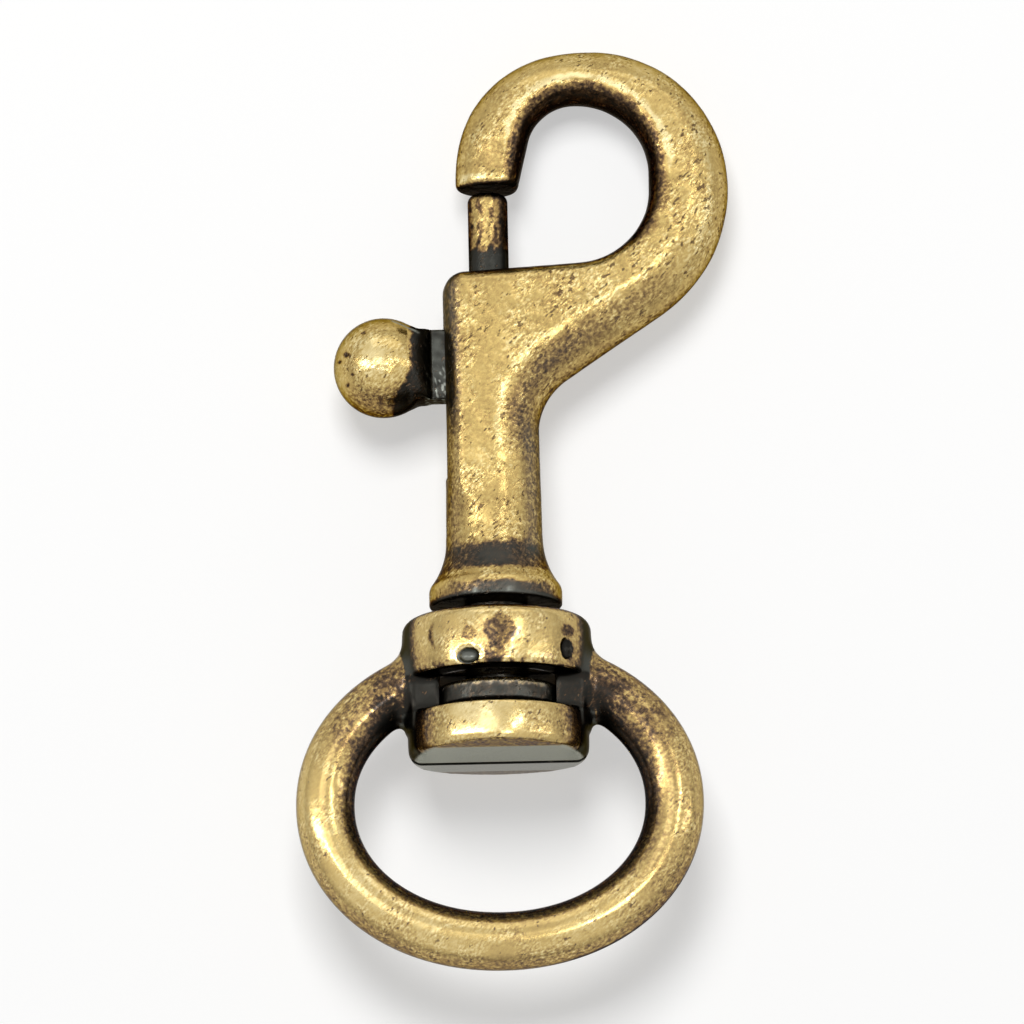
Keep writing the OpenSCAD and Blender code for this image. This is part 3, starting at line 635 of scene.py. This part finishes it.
def eyePlaces(s, p, n):  # where it is blackened, rubbed or bare, and where shade, highlights and a reflection are painted, by place and facing
    x, y, z = p.T
    away, side = np.abs(z), np.abs(x)
    inward = -(n[:, 0] * x + n[:, 1] * y) / np.maximum(np.hypot(x, y), 1e-6)
    onBarrel = (np.hypot(x, z) < s["barrelR"]) * (y > s["barrelY"])
    onRing = 1 - onBarrel
    front = onBarrel * (z > 0)
    onCollar = front * (y > s["collarY"])
    under = onBarrel * eased(-n[:, 1], 0.7, 0.9) * (y < 4)
    lens = under * eased(away, 3.9, 4.2)
    seam = onBarrel * (y < s["bandY"] + s["seamDepth"] + 0.05) * (away < s["seamHalf"] + 0.02)
    window = onBarrel * (y > s["bandTopY"] - 0.05) * (y < s["collarY"] + 0.02)
    plateEdge = 2.7 + 1.0 * (y > s["collarY"])
    sidePlate = onBarrel * (1 - under) * (side > 3) * (1 - eased(away, 2.1, plateEdge))
    roots = np.maximum(bump(np.hypot(side - 7.3, y - 6.9), 0, 2.6) * 0.9,
                       bump(np.hypot(side - 9.6, y - 5.2), 0, 2.2) * 0.42)
    rootMarks = ripple(p, 0.45, 22) + 0.9 * ripple(p, 1.8, 23)
    spotReach = 1.15 + 0.14 * ripple(p, 0.9, 16)
    stain = sum(eased(spotReach - np.hypot(x - spotX, y - spotY) / size, 0, 0.3) * amount
                for spotX, spotY, size, amount in s["spots"])
    pitAway = np.min([np.hypot((x - pit[0]) / pit[2], (y - pit[1]) / pit[3]) for pit in s["pits"]], axis=0)
    inPit = onCollar * (pitAway < 0.9)
    return dict(
        # blackening and painted shade on the ring's inner wall
        ringWall=onRing * eased(inward, 0.3, 0.95),
        # painted shade on the ring's right arm
        rightArmShade=onRing * eased(x, 8, 11),
        # painted shade on the ring's lower outer edge
        lowerRimShade=onRing * eased(-inward, 0.55, 0.95) * eased(-y, 2, 8),
        flash=onRing * (inward < 0) * eased(x, 2.5, 6) * eased(-y, 1.5, 5) * bump(z, 0, 0.24),
        roots=roots,
        # painted glints among rubbed marks on the roots, on the front only
        rootRubAndGlints=onRing * roots * eased(rootMarks, 0.1, 0.9) * eased(z, 0.3, 1.2),
        # blackening and painted shade on the barrel's sides and posts
        sidePlate=sidePlate,
        cheeks=sidePlate * (1 - window),
        window=window,
        groove=onBarrel * bump(away, 2.4, 0.14) * (y < 6.3) * (side > 5),
        lens=lens,
        seam=seam,
        underPlate=under * (1 - lens) * (1 - seam),
        bandEnds=front * (y < 6.3) * bump(side, 5.3, 0.7),
        # painted highlight on the band's front
        bandHighlight=front * (y < 6.0) * (y > 3.7) * bump(x, -1.6, 2.2),
        # blackening and painted shade on the collar's top, in the gap towards the hook's foot
        topFace=onBarrel * eased(n[:, 1], 0.6, 0.9) * (y > 12),
        stain=front * stain,
        crack=front * bump(x + 4.45 + 0.12 * np.sin(3 * y), 0, 0.1) * bump(y, 10.95, 0.6),
        chips=front * bump(y, s["collarY"] + 0.1, 0.25) * eased(ripple(p, 0.9, 13), 0.0, 0.4),
        inPit=inPit,
        # painted reflection inside the left pit
        leftPitReflection=inPit * (x < 0),
        # painted highlight round the left pit's rim
        pitRimHighlight=onCollar * bump(pitAway, 1.1, 0.09) * (x < 0),
        collarSide=onCollar * eased(x, 2.6, 5.0),
    )


sideRoom, endRoom = eye["sideRoom"], eye["endRoom"]
eyeLow = [-eye["halfW"] - sideRoom, -eye["halfH"] - sideRoom, -eye["collarR"] - endRoom]
eyeHigh = [eye["halfW"] + sideRoom, eye["collarTopY"] + endRoom, eye["collarR"] + endRoom]
swivelEye = fieldSkin("swivelEye", lambda x, y, z: eyeField(eye, x, y, z), eyeLow, eyeHigh, eye["step"])
cutAway(swivelEye, block("seam", [-eye["bandR"], eye["bandY"] - eye["seamPast"], -eye["seamHalf"]],
                         [eye["bandR"], eye["bandY"] + eye["seamDepth"], eye["seamHalf"]]))
eyeWearAndLight = eyePlaces(eye, *vertexArrays(swivelEye))
paint(swivelEye, "soilAndPaintedLight", weighed(eye["soilAndPaintedLight"], eyeWearAndLight))
underGrey = eyeWearAndLight["underPlate"] * eye["underGrey"]
paint(swivelEye, "grey", np.maximum(underGrey, weighed(eye["grey"], eyeWearAndLight)))
handOver(swivelEye, antiqueBrass("antique brass plate on zinc casting, eye", castFinish, **eye["finish"]),
         "eye", "swivel_eye")


# thumb knob: sections along X, from the ball's circle to the flat neck's rounded oblong, then the stem

knob = dict(
    x=-7.4, y=30.95, ballR=3.45, neckHalfH=2.5, neckHalfT=1.1, fillet=0.8, sideFillet=0.2, neckEnd=5.83,
    endHalfH=2.4, endHalfT=1.0, stemR=0.8, stemEnd=8.0,
    columns=240, ballRows=90, ballShare=0.62, neckRows=60, squareness=7, squareFrom=1.6, squareBy=3.6,
    pits=[(-2.54, 0.5, 0.22, 0.12), (-3.02, 0.12, 0.14, 0.07),  # x, y from the ball's centre, radius, depth
          (-1.31, 1.94, 0.17, 0.07), (-2.16, -1.0, 0.14, 0.06), (-2.5, -1.53, 0.14, 0.06)],
    shoulderHighlight=np.array([[0.68, 2.93], [1.59, 2.5], [2.45, 2.0]]),  # painted highlight: bright line over the ball's shoulder
    finish=dict(rubRoughness=0.17, soilRoughness=0.3, dentDepth=0.07, pitFrom=0.7),
    # blackening and painted shade; the negative amount is a painted highlight
    soilAndPaintedLight=dict(blackBack=1.1, pits=0.8, lowSideShade=0.35, highSideShade=0.1, ballHighlight=-0.16),
    grey=dict(blackBack=0.03, neck=0.02, scratches=0.75, shoulderHighlight=0.8),
)


def knobHalf(s, along, flatHalf, fillet):  # half size of a section: ball, hollow fillet, flat neck
    reach = s["ballR"] + fillet
    centre = math.sqrt(reach ** 2 - (flatHalf + fillet) ** 2)
    touch = s["ballR"] * centre / reach
    ball = np.sqrt(np.maximum(s["ballR"] ** 2 - along ** 2, 0))
    hollow = flatHalf + fillet - np.sqrt(np.maximum(fillet ** 2 - (along - centre) ** 2, 0))
    return np.where(along < touch, ball, np.where(along < centre, hollow, flatHalf))


def knobSkin(s):  # superellipse of both half sizes at each step, power 2 on the ball, more on the neck
    lean = np.linspace(0, math.pi * s["ballShare"], s["ballRows"])
    ballAlong = -s["ballR"] * np.cos(lean)
    along = np.append(ballAlong[1:], np.linspace(ballAlong[-1], s["neckEnd"], s["neckRows"] + 1)[1:])
    tall = knobHalf(s, along, s["neckHalfH"], s["fillet"])
    thick = knobHalf(s, along, s["neckHalfT"], s["sideFillet"])
    power = 2 + (s["squareness"] - 2) * eased(along, s["squareFrom"], s["squareBy"])
    along = np.append(along, [s["neckEnd"], s["neckEnd"], s["stemEnd"]])[:, None]
    tall = np.append(tall, [s["endHalfH"], s["stemR"], s["stemR"]])[:, None]
    thick = np.append(thick, [s["endHalfT"], s["stemR"], s["stemR"]])[:, None]
    power = np.append(power, [s["squareness"], 2, 2])[:, None]
    turn = np.linspace(0, 2 * np.pi, s["columns"], endpoint=False)
    cosine, sine = np.cos(turn), np.sin(turn)
    share = (np.abs(cosine) ** power + np.abs(sine) ** power) ** (-1 / power)
    rings = np.stack([along + 0 * turn, tall * share * cosine, thick * share * sine], axis=2)
    for pitX, pitY, size, depth in s["pits"]:
        pitZ = math.sqrt(s["ballR"] ** 2 - pitX ** 2 - pitY ** 2)
        away = np.linalg.norm(rings - [pitX, pitY, pitZ], axis=2)
        rings = rings * (1 - depth / s["ballR"] * np.clip(1 - (away / size) ** 2, 0, 1))[..., None]
    return rings + [s["x"], s["y"], 0]


def knobPlaces(s, p):  # where the knob is blackened, rubbed or scratched, with painted shade and painted highlights, from the ball's centre
    x, y, front = p[:, 0] - s["x"], p[:, 1] - s["y"], p[:, 2] > 0
    goldEnd = 1.95 - 1.3 * eased(-y, 0.4, 3.2)
    neck = eased(x, 2.75, 2.95)
    return dict(
        blackBack=eased(x - goldEnd + 0.12 * ripple(p, 0.9, 8), -0.2, 0.25),
        pits=front * sum(bump(np.hypot(x - pit[0], y - pit[1]), 0, pit[2] * 0.8) for pit in s["pits"]),
        # painted shade on the ball's lower side
        lowSideShade=eased(-y, 1.0, 3.2),
        # painted shade on the ball's top
        highSideShade=eased(y, 1.4, 3.2),
        # painted highlight, an oval left of the ball's middle
        ballHighlight=bump(x, -0.9, 0.8) * bump(y, -0.25, 1.2),
        neck=neck * (5 + 4 * ripple(p, 0.9, 24)),
        scratches=neck * eased(ripple(p * [1, 0.6, 1], 0.34, 9), 0.3, 0.7) * (1 - eased(y, -0.9, 0.4)),
        # painted highlight, a thin line over the ball's shoulder
        shoulderHighlight=front * bump(distanceTo(np.stack([x, y], axis=1), s["shoulderHighlight"]), 0, 0.08),
    )


thumbKnob = ringSkin("thumbKnob", knobSkin(knob))
thumbKnob.data.set_sharp_from_angle(angle=turnedCrease)
knobWearAndLight = knobPlaces(knob, vertexArrays(thumbKnob)[0])
paint(thumbKnob, "soilAndPaintedLight", weighed(knob["soilAndPaintedLight"], knobWearAndLight))
paint(thumbKnob, "grey", weighed(knob["grey"], knobWearAndLight))
handOver(thumbKnob, antiqueBrass("antique brass plate on zinc casting, knob", castFinish, **knob["finish"]),
         "bolt", "thumb_knob")


# gate bolt: drawn rod with a rounded nose, rubbed gold in the mouth, dark where it runs in the bore

bolt = dict(
    radius=1.38, low=27.45, top=43.05, nose=0.6, columns=72,
    # edges is painted shade along the rod's sides
    soilAndPaintedLight=dict(everywhere=0.08, unworn=1.1, edges=0.65, streaks=0.4, nose=0.4), grey=dict(unworn=0.06),
)


def boltProfile(s):  # [radius, height] rows: low end, side, rounded nose, top
    noseX, noseY = s["radius"] - s["nose"], s["top"] - s["nose"]
    return joined(
        linePoints([poleR, s["low"]], [s["radius"], s["low"]], 4),
        linePoints([s["radius"], s["low"]], [s["radius"], noseY], 110),
        arcPoints([noseX, noseY], [s["nose"]] * 2, 0, 90, 10),
        linePoints([noseX, s["top"]], [poleR, s["top"]], 5))


def boltPlaces(p):  # blackened below the mouth, in streaks and at the nose, with painted shade along the sides
    x, y = p[:, 0], p[:, 1]
    return dict(
        everywhere=np.ones(len(p)),
        unworn=1 - eased(y + 0.5 * ripple(p, 1.6, 5), 38.4, 39.4),
        # painted shade along the rod's sides, leaving a lit stripe just left of its middle
        edges=eased(np.abs(x + 0.22), 0.68, 1.18),
        streaks=eased(ripple(p * [1, 0.4, 1], 0.7, 6), 0.25, 0.65),
        nose=eased(y, 42.3, 42.9),
    )


gateBolt = turned("gateBolt", boltProfile(bolt), bolt["columns"])
gateBolt.data.set_sharp_from_angle(angle=turnedCrease)
boltWearAndLight = boltPlaces(vertexArrays(gateBolt)[0])
paint(gateBolt, "soilAndPaintedLight", weighed(bolt["soilAndPaintedLight"], boltWearAndLight))
paint(gateBolt, "grey", weighed(bolt["grey"], boltWearAndLight))
handOver(gateBolt, antiqueBrass("antique brass plate on drawn rod, bolt", castFinish),
         "bolt", "gate_bolt")


# swivel stud: turned pin, head in the window, plug in the bore

stud = dict(
    headLow=6.55, headTop=8.15, headR=4.3, headRound=0.35, neckR=2.2, footY=13.85,
    plugR=1.44, plugTop=18.45, columns=120,
    # rim lightens the worn upper rim and paints a highlight along it
    soilAndPaintedLight=dict(everywhere=0.85, rim=-0.7), grey=dict(everywhere=0.1, patches=0.1, rim=0.35),
)


def studProfile(s):  # [radius, height] rows: head with rounded edges, neck, plug
    edgeX, corner = s["headR"] - s["headRound"], [s["headRound"]] * 2
    lowY, highY = s["headLow"] + s["headRound"], s["headTop"] - s["headRound"]
    return joined(
        linePoints([poleR, s["headLow"]], [edgeX, s["headLow"]], 6),
        arcPoints([edgeX, lowY], corner, -90, 0, 8),
        linePoints([s["headR"], lowY], [s["headR"], highY], 6),
        arcPoints([edgeX, highY], corner, 0, 90, 8),
        linePoints([edgeX, s["headTop"]], [s["neckR"], s["headTop"]], 6),
        linePoints([s["neckR"], s["headTop"]], [s["neckR"], s["footY"]], 24),
        linePoints([s["neckR"], s["footY"]], [s["plugR"], s["footY"]], 3),
        linePoints([s["plugR"], s["footY"]], [s["plugR"], s["plugTop"]], 16),
        linePoints([s["plugR"], s["plugTop"]], [poleR, s["plugTop"]], 4))


def studPlaces(p):  # the head's worn upper rim with a painted highlight along it, and lighter patches
    x, y, z = p.T
    return dict(
        everywhere=np.ones(len(p)),
        patches=eased(ripple(p, 2.2, 11), 0.1, 0.6),
        # worn upper rim, with a painted highlight along it
        rim=eased(y + 0.12 * ripple(p, 0.8, 7), 7.6, 7.85) * (np.hypot(x, z) > 3.8) * (y < 8.2),
    )


swivelStud = turned("swivelStud", studProfile(stud), stud["columns"])
swivelStud.data.set_sharp_from_angle(angle=turnedCrease)
studWearAndLight = studPlaces(vertexArrays(swivelStud)[0])
paint(swivelStud, "soilAndPaintedLight", weighed(stud["soilAndPaintedLight"], studWearAndLight))
paint(swivelStud, "grey", weighed(stud["grey"], studWearAndLight))
handOver(swivelStud, antiqueBrass("blackened brass plate on turned steel, stud", castFinish),
         "hook", "swivel_stud")


# bolt spring: round wire carried along a helix between the stud's plug and the bolt's end

spring = dict(
    wireR=0.225, coilR=1.025, low=18.695, high=27.205, turns=7, steps=40, sides=12,
    travel=5.5,  # mm, how far the gate slides
    marks=0.2, dark="#55534f", light="#9a9893", roughness=0.34,  # drawing marks: mm apart, colours
)


def springSkin(s):  # ring of wire at each step of the helix, upright in the plane through the Y axis
    turn = np.linspace(0, 2 * np.pi * s["turns"], s["turns"] * s["steps"] + 1)[:, None]
    around = np.linspace(0, 2 * np.pi, s["sides"], endpoint=False)[None, :]
    out = s["coilR"] + s["wireR"] * np.cos(around)
    height = s["low"] + (s["high"] - s["low"]) * turn / turn[-1] + s["wireR"] * np.sin(around)
    return np.stack([out * np.sin(turn), height, out * np.cos(turn)], axis=2)


def springSteel(name, look):  # hard drawn spring steel: smooth grey wire, faint drawing marks
    material = bpy.data.materials.new(name)
    tree = emptyTree(material)
    place = addNode(tree, "ShaderNodeTexCoord").outputs["Object"]
    marks = addNode(tree, "ShaderNodeTexNoise",
                    {"Vector": place, "Scale": 1 / (look["marks"] * mm), "Detail": 3.0}).outputs["Fac"]
    ramp = addNode(tree, "ShaderNodeValToRGB", {"Fac": marks})
    ramp.color_ramp.elements[0].color = linear(look["dark"])
    ramp.color_ramp.elements[1].color = linear(look["light"])
    shader = addNode(tree, "ShaderNodeBsdfPrincipled",
                     {"Base Color": ramp.outputs["Color"], "Metallic": 1.0, "Roughness": look["roughness"]})
    addNode(tree, "ShaderNodeOutputMaterial", {"Surface": shader.outputs["BSDF"]})
    return material


boltSpring = ringSkin("boltSpring", springSkin(spring))
handOver(boltSpring, springSteel("hard drawn spring steel wire", spring),
         "hook", "bolt_spring")
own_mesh(boltSpring)


# stage: pale floor under the collar and the hook's back, soft light from the hook's end, long lens camera

stageSet = dict(
    pixelsPerMm=14.53, imageSize=1024, eyePixel=(500, 804.5), lean=12.5, roll=1.2, distance=2.2,
    sensor=36, clip=(0.05, 10),
    collarLow=(12.1, -6.58), hookLow=(50.1, -2.68),  # y and z in mm of the two lines that touch the floor
    floorHalf=0.7, floorColour="#fcfcfb", floorGlow=0.48,
    worldFill=0.25, tentLow=0.66, tentRise=0.55, lampTarget=(0.0015, 0.02, 0),
)

lamps = dict(
    floorKey=dict(size=(0.38, 0.38), power=8.4, place=(-0.08, 0.33, 0.94), metal=False),  # floor's shadow
    topBox=dict(size=(0.3, 0.3), power=0.3, place=(-0.18, 0.12, 0.74), card=False),  # broad highlight
    leftStrip=dict(size=(0.06, 0.6), power=1.1, place=(-0.5, 0.06, 0.62), card=False),  # line on the arms
    rightStrip=dict(size=(0.03, 0.4), power=0.2, place=(0.62, 0.06, 0.42), card=False),
    hornLamp=dict(size=(0.12, 0.12), power=0.38, place=(0.15, -0.04, 0.74), card=False),  # horn's ridge
    endPanel=dict(size=(0.7, 0.35), power=0.36, place=(0.05, 0.55, 0.4), card=False),  # hook's end
    limbLamp=dict(size=(0.05, 0.2), power=0.28, place=(0.3, 0.16, 0.68), card=False),
)


def stagePlane(s):  # floor plane through the two lines on which the hook rests
    (y0, z0), (y1, z1) = s["collarLow"], s["hookLow"]
    rise = (z1 - z0) / (y1 - y0)
    half = s["floorHalf"] / mm
    outline = ((-half, -half), (half, -half), (half, half), (-half, half))
    corners = np.array([[x, y, z0 + (y - y0) * rise] for x, y in outline])
    floor = meshObject("floor", corners, [(0, 1, 2, 3)])
    material = bpy.data.materials.new("matt white card")  # even white, lifted where it is seen
    tree = emptyTree(material)
    path = addNode(tree, "ShaderNodeLightPath").outputs
    mirrored = addNode(tree, "ShaderNodeMath", {0: path["Is Glossy Ray"], 1: path["Is Transmission Ray"]},
                       operation="MAXIMUM").outputs[0]
    seen = addNode(tree, "ShaderNodeMath", {0: path["Is Camera Ray"], 1: mirrored},
                   operation="MAXIMUM").outputs[0]
    share = addNode(tree, "ShaderNodeMath", {0: seen, 1: s["floorGlow"]}, operation="MULTIPLY").outputs[0]
    card = addNode(tree, "ShaderNodeBsdfDiffuse", {"Color": linear(s["floorColour"])}).outputs[0]
    glow = addNode(tree, "ShaderNodeEmission", {"Strength": 1.0}).outputs[0]
    mixed = addNode(tree, "ShaderNodeMixShader", {0: share, 1: card, 2: glow}).outputs[0]
    addNode(tree, "ShaderNodeOutputMaterial", {"Surface": mixed})
    floor.data.materials.append(material)


def areaLight(name, target, size, power, place, metal=True, card=True):  # panel for metal or card
    data = bpy.data.lights.new(name, "AREA")
    data.shape = "RECTANGLE"
    data.size, data.size_y = size
    data.energy = power
    obj = bpy.data.objects.new(name, data)
    bpy.context.collection.objects.link(obj)
    obj.location = place
    obj.rotation_mode = "QUATERNION"
    obj.rotation_quaternion = (Vector(target) - obj.location).to_track_quat("-Z", "Y")
    obj.visible_glossy = metal
    obj.visible_diffuse = card


def whiteWorld(s):  # white to the camera, greyer low down in reflections, dimmer as fill light
    world = bpy.data.worlds.new("white tent")
    bpy.context.scene.world = world
    tree = emptyTree(world)
    path = addNode(tree, "ShaderNodeLightPath").outputs
    direction = addNode(tree, "ShaderNodeTexCoord").outputs["Generated"]
    upward = addNode(tree, "ShaderNodeSeparateXYZ", {0: direction}).outputs["Z"]
    tent = addNode(tree, "ShaderNodeMapRange",
                   {"Value": upward, "From Min": 0.0, "From Max": s["tentRise"],
                    "To Min": s["tentLow"], "To Max": 1.0}, interpolation_type="SMOOTHSTEP").outputs[0]
    mirrored = addNode(tree, "ShaderNodeMath", {0: path["Is Glossy Ray"], 1: path["Is Transmission Ray"]},
                       operation="MAXIMUM").outputs[0]
    fill, around, white = (
        addNode(tree, "ShaderNodeBackground", {"Color": (1, 1, 1, 1), "Strength": strength}).outputs[0]
        for strength in (s["worldFill"], tent, 1.0))
    lit = addNode(tree, "ShaderNodeMixShader", {0: mirrored, 1: fill, 2: around}).outputs[0]
    mixed = addNode(tree, "ShaderNodeMixShader", {0: path["Is Camera Ray"], 1: lit, 2: white}).outputs[0]
    addNode(tree, "ShaderNodeOutputWorld", {"Surface": mixed})


def longLens(s):  # camera whose picture has the eye's centre on its pixel, at the set scale
    lean, roll = math.radians(s["lean"]), math.radians(s["roll"])
    right, away = Vector((1, 0, 0)), Vector((0, -math.sin(lean), math.cos(lean)))
    up = Vector((0, math.cos(lean), math.sin(lean)))
    imageRight = right * math.cos(roll) - up * math.sin(roll)
    imageUp = right * math.sin(roll) + up * math.cos(roll)
    middle = s["imageSize"] / 2
    offRight = (middle - s["eyePixel"][0]) / s["pixelsPerMm"] * mm
    offUp = (s["eyePixel"][1] - middle) / s["pixelsPerMm"] * mm
    aim = imageRight * offRight + imageUp * offUp
    data = bpy.data.cameras.new("longLens")
    data.sensor_width = s["sensor"]
    data.lens = data.sensor_width * s["distance"] / (s["imageSize"] / s["pixelsPerMm"] * mm)
    data.clip_start, data.clip_end = s["clip"]
    camera = bpy.data.objects.new("longLens", data)
    bpy.context.collection.objects.link(camera)
    camera.matrix_world = Matrix((
        (imageRight.x, imageUp.x, away.x, aim.x + away.x * s["distance"]),
        (imageRight.y, imageUp.y, away.y, aim.y + away.y * s["distance"]),
        (imageRight.z, imageUp.z, away.z, aim.z + away.z * s["distance"]),
        (0, 0, 0, 1)))
    bpy.context.scene.camera = camera


stagePlane(stageSet)
whiteWorld(stageSet)
for lampName, lamp in lamps.items():
    areaLight(lampName, stageSet["lampTarget"], **lamp)
longLens(stageSet)
bpy.context.scene.view_settings.view_transform = "Standard"
print("stage done")
